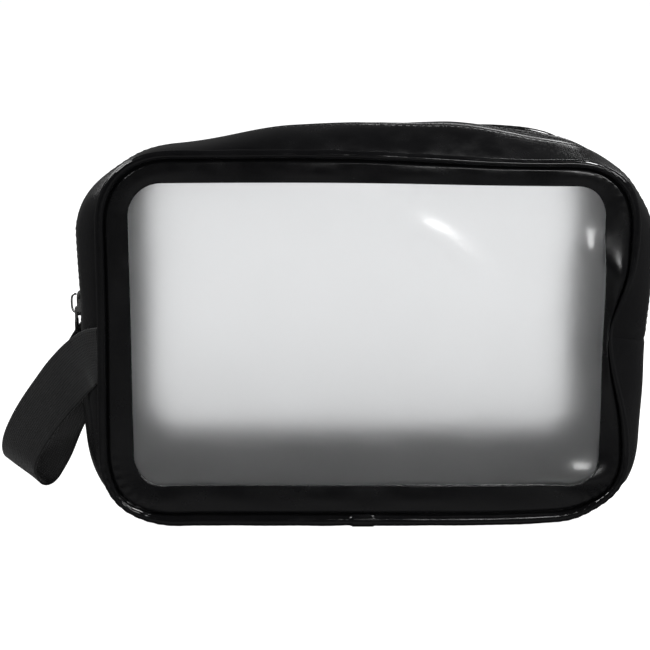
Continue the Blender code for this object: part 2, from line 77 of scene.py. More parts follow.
SEAM_Z = 84.0   # height of the two side seams
HEM_Y, HEM_W, HEM_T = 6.5, 5.5, 1.9   # folded hem beside the zip: depth, width and thickness
STITCH_LANE = 4.3   # from the hem's edge to its row of stitches
TAPE_T, TAPE_Y, TAPE_DROP, TAPE_UNDER = 0.6, (0.9, 13.0), 2.7, 2.35
ZIP_END_Z = 88.5
WEB_W, WEB_T = 25.0, 1.5


def ease(t):
    t = np.clip(t, 0.0, 1.0)
    return t * t * (3 - 2 * t)


# ---- the sag of the standing bag ---------------------------------------------
# Each push moves the cloth near a place: centre, reach along each axis, and how far it moves.
PUSHES = (
    ("dent_of_right_seam", (121.0, -38.0, 88.0), (9.5, 20.0, 27.0), (-10.8, 0.0, 0.0)),
    ("ridge_beside_dent", (113.0, -36.0, 92.0), (5.0, 9.0, 24.0), (0.0, -2.6, 0.0)),
    ("right_shoulder", (75.0, -36.0, 182.0), (60.0, 20.0, 18.0), (0.0, 0.0, -5.0)),
    ("right_upper_corner", (114.0, -30.0, 166.0), (26.0, 60.0, 26.0), (-1.0, 0.0, -0.6)),
    ("right_upper_side", (131.0, 0.0, 156.0), (12.0, 40.0, 17.0), (-3.0, 0.0, 0.0)),
    ("left_upper_corner", (-112.0, -20.0, 167.0), (28.0, 70.0, 26.0), (0.2, 0.0, -0.4)),
    ("front_hem_rise", (-5.0, -6.0, 186.0), (90.0, 16.0, 14.0), (0.0, 0.0, 1.3)),
    ("left_shoulder", (-72.0, 7.0, 186.0), (34.0, 36.0, 18.0), (0.0, 0.0, -2.6)),
    ("window_upper_right", (106.0, -36.0, 140.0), (8.0, 12.0, 24.0), (-2.2, 0.0, 0.0)),
    ("fold_on_film", (99.0, -36.0, 129.0), (9.5, 8.0, 11.0), (0.0, -3.3, 0.0)),
    ("fold_on_border", (114.0, -36.0, 121.0), (6.5, 8.0, 9.0), (0.0, -2.3, 0.0)),
    ("fold_at_foot", (98.0, -36.0, 24.5), (14.0, 8.0, 7.5), (0.0, -3.3, 0.0)),
    ("front_bottom_rests", (0.0, -38.0, 0.0), (400.0, 10.0, 6.5), (0.0, 0.0, -2.6)),
    ("right_foot_rise", (106.0, -37.0, 2.0), (32.0, 14.0, 16.0), (0.0, 0.0, 2.2)),
    ("left_foot", (-108.0, -36.0, 12.0), (16.0, 14.0, 14.0), (-2.0, 0.0, -1.8)),
    ("right_lower_side", (134.0, 0.0, 58.0), (16.0, 40.0, 36.0), (-3.0, 0.0, 0.0)),
    ("right_seam_lift", (122.0, -32.0, 86.0), (14.0, 12.0, 16.0), (0.0, 0.0, 6.0)),
    ("back_window_foot", (0.0, 38.0, 24.0), (300.0, 14.0, 12.0), (0.0, 0.0, 4.0)),
    ("back_window_side", (104.0, 38.0, 90.0), (14.0, 14.0, 70.0), (-5.0, 0.0, 0.0)),
    ("left_lower_side", (-121.0, -20.0, 30.0), (16.0, 90.0, 60.0), (-2.4, 0.0, 0.0)),
    ("right_flat_side", (134.0, 0.0, 110.0), (14.0, 60.0, 60.0), (-2.8, 0.0, 0.0)),
    ("back_hem_sag", (-25.0, 13.0, 184.0), (75.0, 13.0, 22.0), (0.0, 0.0, -3.6)),
    ("back_top_left", (-66.0, 30.0, 182.0), (46.0, 18.0, 24.0), (0.0, 0.0, -5.5)),
    ("back_left_corner", (-105.0, 38.0, 172.0), (26.0, 30.0, 26.0), (2.0, 0.0, -8.0)),
    ("back_right_corner", (111.0, 38.0, 172.0), (26.0, 30.0, 28.0), (-2.4, 0.0, -8.4)),
    ("hollow_under_slider", (-134.5, 0.0, 98.0), (14.0, 24.0, 24.0), (1.3, 0.0, 0.0)),
    ("back_right_seam", (121.0, 38.0, 70.0), (12.0, 20.0, 36.0), (-3.4, 0.0, 0.0)),
    ("back_left_seam", (-121.0, 38.0, 110.0), (12.0, 20.0, 34.0), (2.6, 0.0, 0.0)),
    ("back_bottom_middle", (-20.0, 38.0, 6.0), (70.0, 24.0, 14.0), (0.0, -1.6, 0.0)),
)


def warp(points):
    """Moves points, in millimetres, by every push. All the soft pieces share it, so that they stay together."""
    p = np.asarray(points, float)
    moved = p.copy()
    for _, centre, reach, move in PUSHES:
        w = np.exp(-(((p - np.array(centre)) / np.array(reach)) ** 2).sum(-1))
        moved += w[..., None] * np.array(move)
    moved[..., 2] = np.maximum(moved[..., 2], 0.0)
    return moved


WAVE_SEED, WAVE_COUNT = 11, 14
WAVE_FIRST, WAVE_STEP, WAVE_SHARE = 0.7, 0.06, 5.0   # lengths as shares of the one asked for, and what evens the sum
WAVES = np.random.default_rng(WAVE_SEED)
WAVE_DIRS = WAVES.normal(size=(WAVE_COUNT, 3))
WAVE_DIRS /= np.linalg.norm(WAVE_DIRS, axis=1)[:, None]
WAVE_PHASES = WAVES.uniform(0, 2 * math.pi, WAVE_COUNT)


def swell(points, length):
    """Smooth noise, mostly from -1 to 1, with waves about that long."""
    p = np.asarray(points, float)
    total = np.zeros(p.shape[:-1])
    for i, (d, phase) in enumerate(zip(WAVE_DIRS, WAVE_PHASES)):
        total += np.sin(p @ d * 2 * math.pi / (length * (WAVE_FIRST + WAVE_STEP * i)) + phase)
    return total / WAVE_SHARE


# ---- meshes ------------------------------------------------------------------
SHARP, SHARP_TUBE, SHARP_WEB, SHARP_THREAD = 40.0, 60.0, 70.0, 80.0   # degrees over which an edge is shown sharp


def finish_mesh(name, verts, faces, mat, run=None, sharp=SHARP):
    """A mesh object. run holds each vertex's distance along and across a strip, for its weave."""
    mesh = bpy.data.meshes.new(name)
    mesh.from_pydata([tuple(v) for v in np.asarray(verts) * MM], [], faces)
    if run is not None:
        at = mesh.attributes.new("run", "FLOAT_VECTOR", "POINT")
        at.data.foreach_set("vector", np.asarray(run, np.float32).ravel())
    bm = bmesh.new()
    bm.from_mesh(mesh)
    bmesh.ops.recalc_face_normals(bm, faces=bm.faces)
    bm.to_mesh(mesh)
    bm.free()
    mesh.shade_smooth()
    mesh.set_sharp_from_angle(angle=math.radians(sharp))
    mesh.materials.append(mat)
    ob = bpy.data.objects.new(name, mesh)
    bpy.context.scene.collection.objects.link(ob)
    return ob


def skin_faces(rows, cols, closed, shift, paired_caps):
    """Quads between rows of a closed section. A paired section is an outer line and then the inner one back."""
    faces = []
    for i in range(rows if closed else rows - 1):
        a, b = shift + i * cols, shift + ((i + 1) % rows) * cols
        faces += [(a + k, a + (k + 1) % cols, b + (k + 1) % cols, b + k) for k in range(cols)]
    if not closed:
        for a in (shift, shift + (rows - 1) * cols):
            if paired_caps:
                faces += [(a + k, a + k + 1, a + cols - 2 - k, a + cols - 1 - k) for k in range(cols // 2 - 1)]
            else:
                faces.append(tuple(a + k for k in range(cols)))
    return faces


def solid(name, rings, mat, closed=False, paired_caps=True, run=None, bend=True, sharp=SHARP):
    """A closed skin over rings of points, bent with the rest of the bag unless bend is off."""
    rows, cols = rings.shape[:2]
    verts = rings.reshape(-1, 3)
    if bend:
        verts = warp(verts)
    faces = skin_faces(rows, cols, closed, 0, paired_caps)
    return finish_mesh(name, verts, faces, mat, None if run is None else run.reshape(-1, 3), sharp)


def tube(name, centres, radius, mat, sides, closed, toward, bend=True):
    """A round bar along points. toward is a direction, or one for each point, that is never along the bar."""
    c = np.asarray(centres, float)
    ahead = np.roll(c, -1, 0) - np.roll(c, 1, 0)
    if not closed:
        ahead[0], ahead[-1] = c[1] - c[0], c[-1] - c[-2]
    ahead /= np.linalg.norm(ahead, axis=1)[:, None]
    side = np.cross(ahead, toward)
    side /= np.linalg.norm(side, axis=1)[:, None]
    up = np.cross(side, ahead)
    a = np.linspace(0, 2 * math.pi, sides, endpoint=False)
    r = np.broadcast_to(np.asarray(radius, float), (len(c),))[:, None, None]
    rings = c[:, None] + r * (np.cos(a)[None, :, None] * side[:, None] + np.sin(a)[None, :, None] * up[:, None])
    return solid(name, rings, mat, closed, False, bend=bend, sharp=SHARP_TUBE)


# ---- the outline -------------------------------------------------------------
class Line:
    """A run of the outline: places, outward normals and the distance run."""

    def __init__(self, x, z, nx, nz, s=None):
        n = np.hypot(nx, nz)
        self.x, self.z, self.nx, self.nz = x, z, nx / n, nz / n
        self.s = np.concatenate([[0.0], np.cumsum(np.hypot(np.diff(x), np.diff(z)))]) if s is None else s

    def sampled(self, s):
        return Line(*(np.interp(s, self.s, a) for a in (self.x, self.z, self.nx, self.nz)), s)

    def cut(self, s0, s1, step):
        return self.sampled(np.linspace(s0, s1, max(2, int(round((s1 - s0) / step)) + 1)))

    def ring(self, step):
        n = int(round(self.s[-1] / step))
        return self.sampled(np.arange(n) * self.s[-1] / n)

    def at(self, u, y):
        """Points u out of the outline at depth y, each one value, one per station, or a grid."""
        u, y = np.asarray(u, float), np.asarray(y, float)
        if u.ndim < 2 and y.ndim < 2 and np.broadcast(u, y).size in (1, len(self.s)):
            u, y = np.broadcast_to(u, (len(self.s),)), np.broadcast_to(y, (len(self.s),))
            return np.stack([self.x + u * self.nx, y, self.z + u * self.nz], -1)
        u, y = np.broadcast_arrays(np.atleast_2d(u), np.atleast_2d(y))
        x, z, nx, nz = (a[:, None] for a in (self.x, self.z, self.nx, self.nz))
        y = np.broadcast_to(y, np.broadcast_shapes(y.shape, x.shape))
        return np.stack([x + u * nx, y, z + u * nz], -1)

    def bulge(self):
        """How far the gusset stands out of the outline at mid-depth."""
        side = np.abs(self.nx) ** SIDE_POWER
        foot = FOOT_BULGE[0] + FOOT_BULGE[1] * ease((self.z - FOOT_Z) / FOOT_H)
        low = BULGE_BOTTOM + (BULGE_SIDE * foot - BULGE_BOTTOM) * side
        top = BULGE_TOP * ease((np.abs(self.x) - TOP_EASE_X[0]) / (TOP_EASE_X[1] - TOP_EASE_X[0]))
        rise = ease((self.z - SIDE_EASE_Z[0]) / (SIDE_EASE_Z[1] - SIDE_EASE_Z[0]))
        high = CORNER_BULGE + top + (BULGE_SIDE - CORNER_BULGE) * side * rise
        return np.where(self.z < SEAM_Z, low, high)

    def plateau(self):
        """Share of the depth over which the gusset stays at its full bulge."""
        down = np.clip(-self.nz, 0, 1)
        return PLATEAU_SIDE + (PLATEAU_BOTTOM - PLATEAU_BOTTOM * np.abs(self.nx) ** SIDE_POWER) * (down > 0)

    def gathers(self):
        """How tightly the cloth is gathered into the seam: most at the two lower corners."""
        turning = (2 * np.abs(self.nx * self.nz)) ** GATHER_POWER
        return turning * np.where(self.z < SEAM_Z, GATHER_LOWER, GATHER_UPPER)


def outline():
    """The whole seam line, from the right-hand side seam up, over the top, down the left, and back underneath."""
    in_x, low, high = HALF_W - CORNER, Z_BOTTOM + CORNER, Z_TOP - CORNER
    straight, curved = 60, 200   # points in each
    t = np.linspace(0, math.pi / 2, curved)
    c, s = np.abs(np.cos(t)), np.abs(np.sin(t))
    px, pz = CORNER * c ** (2 / CORNER_N), CORNER * s ** (2 / CORNER_N)
    nx, nz = c ** (2 - 2 / CORNER_N), s ** (2 - 2 / CORNER_N)
    one, nil, back = np.ones(straight), np.zeros(straight), slice(None, None, -1)
    along = np.linspace(-in_x, in_x, straight)
    runs = [
        (HALF_W * one, np.linspace(SEAM_Z, high, straight), one, nil),
        (in_x + px, high + pz, nx, nz),
        (along[back], Z_TOP * one, nil, one),
        (-in_x - px[back], high + pz[back], -nx[back], nz[back]),
        (-HALF_W * one, np.linspace(high, SEAM_Z, straight), -one, nil),
        (-HALF_W * one, np.linspace(SEAM_Z, low, straight), -one, nil),
        (-in_x - px, low - pz, -nx, -nz),
        (along, Z_BOTTOM * one, nil, -one),
        (in_x + px[back], low - pz[back], nx[back], -nz[back]),
        (HALF_W * one, np.linspace(low, SEAM_Z, straight), one, nil),
    ]
    arrays = [np.concatenate([r[k] for r in runs]) for k in range(4)]
    apart = 1e-6   # two runs share their end point
    keep = np.concatenate([[True], np.hypot(np.diff(arrays[0]), np.diff(arrays[1])) > apart])
    return Line(*(a[keep] for a in arrays))


SEAM = outline()
S_ALL = SEAM.s[-1]
S_LEFT = SEAM.s[np.argmin(np.hypot(SEAM.x + HALF_W, SEAM.z - SEAM_Z))]


SKIN_POWER, SKIN_ROUND = 2.2, 0.8   # the gusset's section from its plateau down to the sewn edge


def skin_u(line, y):
    """How far the gusset's skin stands out of the outline at each depth."""
    t = np.minimum(1.0, np.abs(y) / EDGE_Y)
    t0 = line.plateau()[:, None]
    k = np.clip((t - t0) / (1 - t0), 0, 1)
    return EDGE_U + (line.bulge()[:, None] - EDGE_U) * (1 - k ** SKIN_POWER) ** SKIN_ROUND


GATHER_PITCH, GATHER_DRIFT, GATHER_DEPTH = 6.1, (1.3, 9.0), 0.55
GATHER_FADE, GATHER_START = 4.5, 1.6   # how far from the sewn edge they die away, and how soon they start
ROLL_LENGTH, ROLL_FADE, ROLL_DEPTH = 46.0, 12.0, 0.55
FLAT_BY_SLIDER = (12.0, 88.0, 34.0)   # reach across, height and reach up of the smooth place at the slider
UNDERSIDE = -0.5   # the outline looks down here, and the gusset lies flat
DIP_DEPTH, DIP_W = 0.9, 1.4   # the groove beside the piping


def folds(line, y):
    """Small unevenness of the sewn gusset: gathers beside the piping at the corners, soft hollows elsewhere, and a
    groove along the sewn edge."""
    from_edge = EDGE_Y - np.abs(y)
    near, edge = np.exp(-from_edge / GATHER_FADE), ease(from_edge / GATHER_START)
    s = line.s[:, None]
    drift = GATHER_DRIFT[0] * np.sin(s / GATHER_DRIFT[1])
    gather = np.sin(s * 2 * math.pi / GATHER_PITCH + drift) * near * edge * line.gathers()[:, None]
    across, height, up = FLAT_BY_SLIDER
    rolling = swell(line.at(0.0, y), ROLL_LENGTH) * ease(from_edge / ROLL_FADE)
    rolling = rolling * (1 - np.exp(-((line.x + HALF_W) / across) ** 2 - ((line.z - height) / up) ** 2))[:, None]
    stands = np.where(line.nz < UNDERSIDE, 0.0, 1.0)[:, None]
    dip = DIP_DEPTH * np.exp(-((from_edge / DIP_W) ** 2))
    return GATHER_DEPTH * gather + ROLL_DEPTH * rolling * stands - dip


def round_edge(distance, radius):
    """How far a rounded edge falls below the face, at a distance from it."""
    d = np.clip(distance, 0, radius)
    return radius - np.sqrt(np.maximum(radius ** 2 - (radius - d) ** 2, 0.0))


def spaced(a, b, n):
    return a + (b - a) * np.linspace(0, 1, n)


def gusset_depths(start, stop, n):
    """Depths from one edge to the other, closer together at both."""
    crowded, even = 0.6, 0.4
    t = 0.5 - 0.5 * np.cos(np.linspace(0, math.pi, n))
    return start + (stop - start) * (crowded * t + even * np.linspace(0, 1, n))


def both_sides(outer, inner):
    """One closed ring from the outer line and the inner one, which runs back."""
    return np.concatenate([outer, inner[:, ::-1]], 1)


def strip_run(line_s, y):
    """Each point's distance along and across a strip, for both of its sides."""
    run = np.stack([np.broadcast_to(line_s[:, None], y.shape), y, 0 * y], -1)
    return both_sides(run, run)


CUT_ROUND, HEM_ROUND, MOST_DROP = 0.7, 0.9, 0.45   # edge rounding, and the most of the thickness it may take
HEM_STEP, GROOVE_W, GROOVE_DEPTH = 0.6, 0.5, 0.16


def gusset_shell(name, line, ys, mat, hem=False):
    """A strip of the gusset, with its cut ends and its folded hem rounded."""
    y = np.broadcast_to(ys, (len(line.s), len(ys)))
    u = skin_u(line, y) + folds(line, y)
    slope = np.gradient(u, axis=1) / np.gradient(y, axis=1)
    n_u = 1 / np.sqrt(1 + slope ** 2)
    n_y = -slope * n_u
    t = np.full(u.shape, GUSSET_T)
    ends = np.minimum(line.s - line.s[0], line.s[-1] - line.s)[:, None]
    drop = round_edge(ends, CUT_ROUND)
    if hem:
        from_hem = np.abs(y) - HEM_Y
        t = GUSSET_T + (HEM_T - GUSSET_T) * (1 - ease((from_hem - HEM_W + HEM_STEP) / (2 * HEM_STEP)))
        drop = np.maximum(drop, round_edge(from_hem, HEM_ROUND))
        groove = np.exp(-(((from_hem - STITCH_LANE) / GROOVE_W) ** 2))
        u = u - GROOVE_DEPTH * groove
    drop = np.minimum(drop, t * MOST_DROP)
    outer = line.at(u - drop * n_u, y - drop * n_y)
    low_t = t - drop
    y_in = np.clip(y - low_t * n_y, -EDGE_Y, EDGE_Y)
    inner = line.at(u - low_t * n_u, y_in)
    return solid(name, both_sides(outer, inner), mat, run=strip_run(line.s, y))


# ---- materials ---------------------------------------------------------------
class Nodes:
    """A material's node tree, with short ways to add to it."""

    def __init__(self, name, base, roughness, metallic=0.0, specular=0.5):
        self.mat = bpy.data.materials.new(name)
        self.mat.use_nodes = True
        self.tree = self.mat.node_tree
        self.bsdf = self.tree.nodes["Principled BSDF"]
        self.set("Base Color", (*base, 1.0))
        self.set("Roughness", roughness)
        self.set("Metallic", metallic)
        self.set("Specular IOR Level", specular)

    def set(self, socket, value):
        self.bsdf.inputs[socket].default_value = value

    def add(self, kind, links=(), **values):
        n = self.tree.nodes.new(kind)
        for key, value in values.items():
            if hasattr(n, key):
                setattr(n, key, value)
            else:
                n.inputs[key.replace("_", " ")].default_value = value
        for socket, source in links:
            self.link(source, n.inputs[socket])
        return n

    def link(self, source, target):
        self.tree.links.new(source, target)

    def place(self):
        """Where the surface is, in metres, on the resting object."""
        return self.add("ShaderNodeTexCoord").outputs["Object"]

    def along(self):
        """Distance along and across a strip, in millimetres."""
        return self.add("ShaderNodeAttribute", attribute_name="run").outputs["Vector"]

    def noise(self, size, detail):
        """Noise with features about that size, in metres."""
        n = self.add("ShaderNodeTexNoise", Scale=1.0 / size, Detail=detail, Roughness=0.55)
        self.link(self.place(), n.inputs["Vector"])
        return n.outputs["Fac"]

    def pebbles(self, size):
        n = self.add("ShaderNodeTexVoronoi", Scale=1.0 / size)
        n.feature = "SMOOTH_F1"
        self.link(self.place(), n.inputs["Vector"])
        return n.outputs["Distance"]

    def math(self, operation, a, b=0.0):
        n = self.tree.nodes.new("ShaderNodeMath")
        n.operation = operation
        for socket, value in zip(n.inputs, (a, b)):
            if hasattr(value, "is_output"):
                self.link(value, socket)
            else:
                socket.default_value = value
        return n.outputs[0]

    def ramp(self, source, low, high, to_low, to_high):
        """Carries low..high smoothly over to to_low..to_high."""
        n = self.tree.nodes.new("ShaderNodeMapRange")
        n.interpolation_type = "SMOOTHSTEP"
        for socket, value in zip(("From Min", "From Max", "To Min", "To Max"), (low, high, to_low, to_high)):
            n.inputs[socket].default_value = value
        self.link(source, n.inputs["Value"])
        return n.outputs["Result"]

    def tint(self, source, dark, light):
        """Base colour between two colours."""
        n = self.tree.nodes.new("ShaderNodeMix")
        n.data_type = "RGBA"
        self.link(source, n.inputs["Factor"])
        n.inputs["A"].default_value = (*dark, 1.0)
        n.inputs["B"].default_value = (*light, 1.0)
        self.link(n.outputs["Result"], self.bsdf.inputs["Base Color"])

    def bumps(self, *layers):
        """Each layer is a height and its depth in metres."""
        last = None
        for height, depth in layers:
            n = self.add("ShaderNodeBump", Strength=1.0, Distance=depth)
            self.link(height, n.inputs["Height"])
            if last is not None:
                self.link(last, n.inputs["Normal"])
            last = n.outputs["Normal"]
        self.link(last, self.bsdf.inputs["Normal"])


NOISE_LOW, NOISE_HIGH = 0.3, 0.7   # where most of the noise lies


def coated(name, roughness):
    """Black coated fabric: a fine pebbled grain under a gloss that is worn a little unevenly."""
    smoother, duller = 0.05, 0.07
    m = Nodes(name, (0.006, 0.006, 0.0065), roughness, specular=0.42)
    m.tint(m.noise(size=0.018, detail=4.0), dark=(0.0026, 0.0026, 0.003), light=(0.0054, 0.0054, 0.0058))
    wear = m.ramp(m.noise(size=0.011, detail=4.0), NOISE_LOW, NOISE_HIGH, roughness - smoother, roughness + duller)
    m.link(wear, m.bsdf.inputs["Roughness"])
    m.bumps((m.noise(size=0.0045, detail=4.0), 0.00005), (m.pebbles(size=0.0006), 0.000018))
    return m.mat


def frosted(name):
    """Clear film with a frosted face and a faint milkiness."""
    m = Nodes(name, (0.86, 0.865, 0.87), 0.34)
    m.set("Transmission Weight", 0.98)
    m.set("Coat Weight", 0.7)
    m.set("Coat Roughness", 0.13)
    m.set("IOR", 1.42)
    haze = m.ramp(m.noise(size=0.03, detail=3.0), NOISE_LOW, NOISE_HIGH, 0.32, 0.37)
    m.link(haze, m.bsdf.inputs["Roughness"])
    m.bumps((m.noise(size=0.0006, detail=2.0), 0.000012), (m.noise(size=0.02, detail=3.0), 0.00022))
    return m.mat


WEFT_SHARE, TWILL = 1.15, 0.6 * 2.2   # weft threads to a rib, and how far each rib shifts them
HOLLOW_PAINTED_SHADE, CREST_PAINTED_HIGHLIGHT = 0.45, 2.6   # painted shade in the weave's hollows and painted highlight on its crests: how much darker and lighter than the base


def woven(name, base, pitch, depth, sheen=0.25):
    """Ribbed tape: rounded ribs along the run, crossed by the weft, with painted shade in the hollows and a painted
    highlight on the crests. The pitch is in millimetres and the depth in metres."""
    m = Nodes(name, base, 0.72, specular=0.35)
    m.set("Sheen Weight", sheen)
    m.set("Sheen Roughness", 0.4)
    split = m.add("ShaderNodeSeparateXYZ", [("Vector", m.along())])
    along, across = split.outputs["X"], split.outputs["Y"]
    turn = 2 * math.pi / pitch
    rib = m.math("SINE", m.math("MULTIPLY", across, turn))
    skew = m.math("ADD", m.math("MULTIPLY", along, turn * WEFT_SHARE), m.math("MULTIPLY", rib, TWILL))
    weft = m.math("SINE", skew)
    knit = m.math("MULTIPLY", m.math("ADD", m.math("MULTIPLY", rib, 0.5), m.math("MULTIPLY", weft, 0.5)), 0.5)
    height = m.math("ADD", knit, 0.5)
    # The base colour is darker in the weave's hollows, a painted shade, and lighter on its crests, a painted
    # highlight.
    dark, light = tuple(c * HOLLOW_PAINTED_SHADE for c in base), tuple(min(1.0, c * CREST_PAINTED_HIGHLIGHT) for c in base)
    m.tint(m.math("MULTIPLY", height, m.noise(size=0.004, detail=3.0)), dark, light)
    m.bumps((height, depth), (m.noise(size=0.0009, detail=3.0), depth * 0.25))
    return m.mat


def plated(name):
    """Bright nickel plate with fine hairlines."""
    m = Nodes(name, (0.66, 0.66, 0.65), 0.2, metallic=1.0)
    m.link(m.ramp(m.noise(size=0.0022, detail=5.0), NOISE_LOW, 0.75, 0.14, 0.34), m.bsdf.inputs["Roughness"])
    m.bumps((m.noise(size=0.0012, detail=4.0), 0.00001))
    return m.mat


def nylon(name):
    m = Nodes(name, (0.011, 0.011, 0.012), 0.36)
    m.link(m.ramp(m.noise(size=0.002, detail=3.0), NOISE_LOW, NOISE_HIGH, 0.3, 0.46), m.bsdf.inputs["Roughness"])
    m.bumps((m.noise(size=0.0006, detail=3.0), 0.00002))
    return m.mat


def thread(name):
    """Twisted sewing thread."""
    m = Nodes(name, (0.008, 0.008, 0.0085), 0.6)
    m.set("Sheen Weight", 0.1)
    m.bumps((m.noise(size=0.00035, detail=2.0), 0.00006))
    return m.mat


COAT = coated("coated_fabric_black", roughness=0.21)
COAT_PIPE = coated("coated_fabric_piping", roughness=0.13)
FILM = frosted("frosted_film")
WEBBING = woven("webbing_black", (0.0070, 0.0070, 0.0074), pitch=1.15, depth=0.00022, sheen=0.12)
TAPE = woven("zip_tape_black", (0.010, 0.010, 0.011), pitch=0.62, depth=0.00010)
BINDING = woven("binding_tape_black", (0.009, 0.009, 0.0095), pitch=0.8, depth=0.00012)
CORD = woven("piping_cord", (0.20, 0.19, 0.18), pitch=1.0, depth=0.00012)
NYLON = nylon("nylon_coil_black")
PLATE = plated("nickel_plate")
THREAD = thread("thread_black")


# ---- which body a piece follows ----------------------------------------------
def on_bag(ob, slot, *nodes):
    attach(ob, "bag")
    if nodes:
        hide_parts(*nodes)


def on_front(ob, slot, *nodes):
    """Cloth of the front, left where it rests with its placing baked in."""
    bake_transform(ob)
    if nodes:
        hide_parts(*nodes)


# ---- panels ------------------------------------------------------------------
def rounded_gap(x, z, half_w, z0, z1, r):
    """Signed distance to a rounded rectangle, below zero inside."""
    mid, half_h = 0.5 * (z0 + z1), 0.5 * (z1 - z0)
    qx, qz = np.abs(x) - (half_w - r), np.abs(z - mid) - (half_h - r)
    return np.hypot(np.maximum(qx, 0), np.maximum(qz, 0)) + np.minimum(np.maximum(qx, qz), 0) - r


def reach_to_window(line):
    """Distance from the outline in to the window opening, straight along the normal."""
    d = np.zeros(len(line.s))
    tries = 40
    for _ in range(tries):
        x, z = line.x - d * line.nx, line.z - d * line.nz
        d += np.maximum(rounded_gap(x, z, WINDOW_HALF_W, *WINDOW_Z, WINDOW_R), 0)
    return d


BORDER_START = 1.4   # from the outline in to the border's hidden edge
TUCK_DEPTH, TUCK_W, TUCK_INSIDE = 1.7, 2.4, 0.8
CROWN = 0.5
PUCKER_DEPTH, PUCKER_PITCH, PUCKER_AT, PUCKER_W = 0.36, 5.3, 2.5, 2.4
SOFT_DEPTH, SOFT_SHIFT, SOFT_LENGTH = 0.42, 37.0, 34.0
WELD_DROP, WELD_ROUND = 0.25, 0.9


def border(name, sign):
    """Coated frame of a panel: tucked in at the piping, crowned, with a soft welded edge at the window."""
    line = SEAM.ring(1.6)
    reach = reach_to_window(line)[:, None]
    edge, weld = 0.35, 0.9   # the parts of the way in that have closer points
    t = [np.linspace(0, edge, 10)[:-1], np.linspace(edge, weld, 8)[:-1], np.linspace(weld, 1.0, 7)]
    t = np.concatenate(t)[None]
    u = -(BORDER_START + (reach - BORDER_START) * t)
    inward = -u - BORDER_START
    tuck = TUCK_DEPTH * (1 - ease(inward / TUCK_W))
    crown = CROWN * np.sin(math.pi * np.clip(t, 0, 1))
    pucker = PUCKER_DEPTH * np.sin(line.s[:, None] * 2 * math.pi / PUCKER_PITCH)
    pucker = pucker * np.exp(-((inward - PUCKER_AT) / PUCKER_W) ** 2) * line.gathers()[:, None]
    soft = swell(line.at(u, 0.0 * u) + sign * SOFT_SHIFT, SOFT_LENGTH)
    soft = SOFT_DEPTH * soft * np.sin(math.pi * np.clip(t, 0, 1))
    face = FACE_Y - tuck + crown + pucker + soft - WELD_DROP * round_edge((1 - t) * reach, WELD_ROUND)
    outer = line.at(u, sign * face)
    inner = line.at(u, sign * (np.minimum(face, FACE_Y - tuck * TUCK_INSIDE) - BORDER_T))
    return solid(name, both_sides(outer, inner), COAT, closed=True)


DOME, RIPPLE, RIPPLE_LENGTH = 2.0, 0.9, 95.0
FILM_DEPTH = 36.0   # where the ripples are read


def film(name, sign):
    """Frosted sheet behind the border: a shallow dome with slow ripples."""
    half_w, z0, z1 = WINDOW_HALF_W + WINDOW_LAP, WINDOW_Z[0] - WINDOW_LAP, WINDOW_Z[1] + WINDOW_LAP
    r = WINDOW_R + WINDOW_LAP
    rise = np.linspace(0, 1, 17)
    low = z0 + r * (1 - np.cos(rise * math.pi / 2))
    z = np.concatenate([low[:-1], np.linspace(z0 + r, z1 - r, 46), (z0 + z1 - low)[::-1][1:]])
    near = np.minimum(z - z0, z1 - z)
    half = half_w - round_edge(near, r)
    x = half[:, None] * np.linspace(-1, 1, 101)[None]
    z = np.broadcast_to(z[:, None], x.shape)
    mid, tall = 0.5 * (z0 + z1), 0.5 * (WINDOW_Z[1] - WINDOW_Z[0])
    inside = np.clip(1 - (x / WINDOW_HALF_W) ** 2, 0, 1) * np.clip(1 - ((z - mid) / tall) ** 2, 0, 1)
    flat = np.stack([x, np.full(x.shape, sign * FILM_DEPTH), z], -1)
    dome = DOME * inside ** 0.8 + RIPPLE * swell(flat, RIPPLE_LENGTH) * inside ** 0.5
    if sign < 0:
        dome += window_creases(x, z) * ease(inside * 6)
    y = FACE_Y - BORDER_T - CLEAR + dome
    outer = np.stack([x, sign * y, z], -1)
    inner = np.stack([x, sign * (y - SHEET_T), z], -1)
    return solid(name, both_sides(outer, inner), FILM)


CREASE_X, CREASE_Z, CREASE_R, CREASE_W, CREASE_RISE = 8.0, 96.0, 48.0, 5.0, 1.2
CREASE_FROM_X, CREASE_FROM_Z, CREASE_FADE = 12, 112, 18


def window_creases(x, z):
    """A low curved fold of the front film, from the middle of its upper half out to the right."""
    radius = np.hypot(x - CREASE_X, z - CREASE_Z)
    arc = CREASE_RISE * np.exp(-((radius - CREASE_R) / CREASE_W) ** 2)
    return arc * ease((x - CREASE_FROM_X) / CREASE_FADE) * ease((z - CREASE_FROM_Z) / CREASE_FADE)


on_front(border("front_border", -1), "coated_fabric", "front_border_lower", "front_border_upper")
on_bag(border("back_border_panel", 1), "coated_fabric", "back_border")
on_front(film("front_window", -1), "frosted_sheet", "front_window_lower", "front_window_upper")
on_bag(film("back_window_sheet", 1), "frosted_sheet", "back_window")


# ---- piping, cord and binding ------------------------------------------------
LIP_WAY = math.radians(135)   # the seam allowance points in and down from the piping
LIP, LIP_OUT, LIP_IN = 7.0, 0.7, 0.25   # its length, and half its thickness outside and inside
COVER_PITCH, COVER_TWIST, COVER_DEPTH, COVER_EVEN = 4.4, 2.2, 0.13, 0.15
LUMP_DEPTH, LUMP_LENGTH, COVER_THIN = 0.10, 17.0, 0.1


def lip_axes():
    """The direction the lips run and the one across them."""
    return np.array([math.cos(LIP_WAY), math.sin(LIP_WAY)]), np.array([-math.sin(LIP_WAY), math.cos(LIP_WAY)])


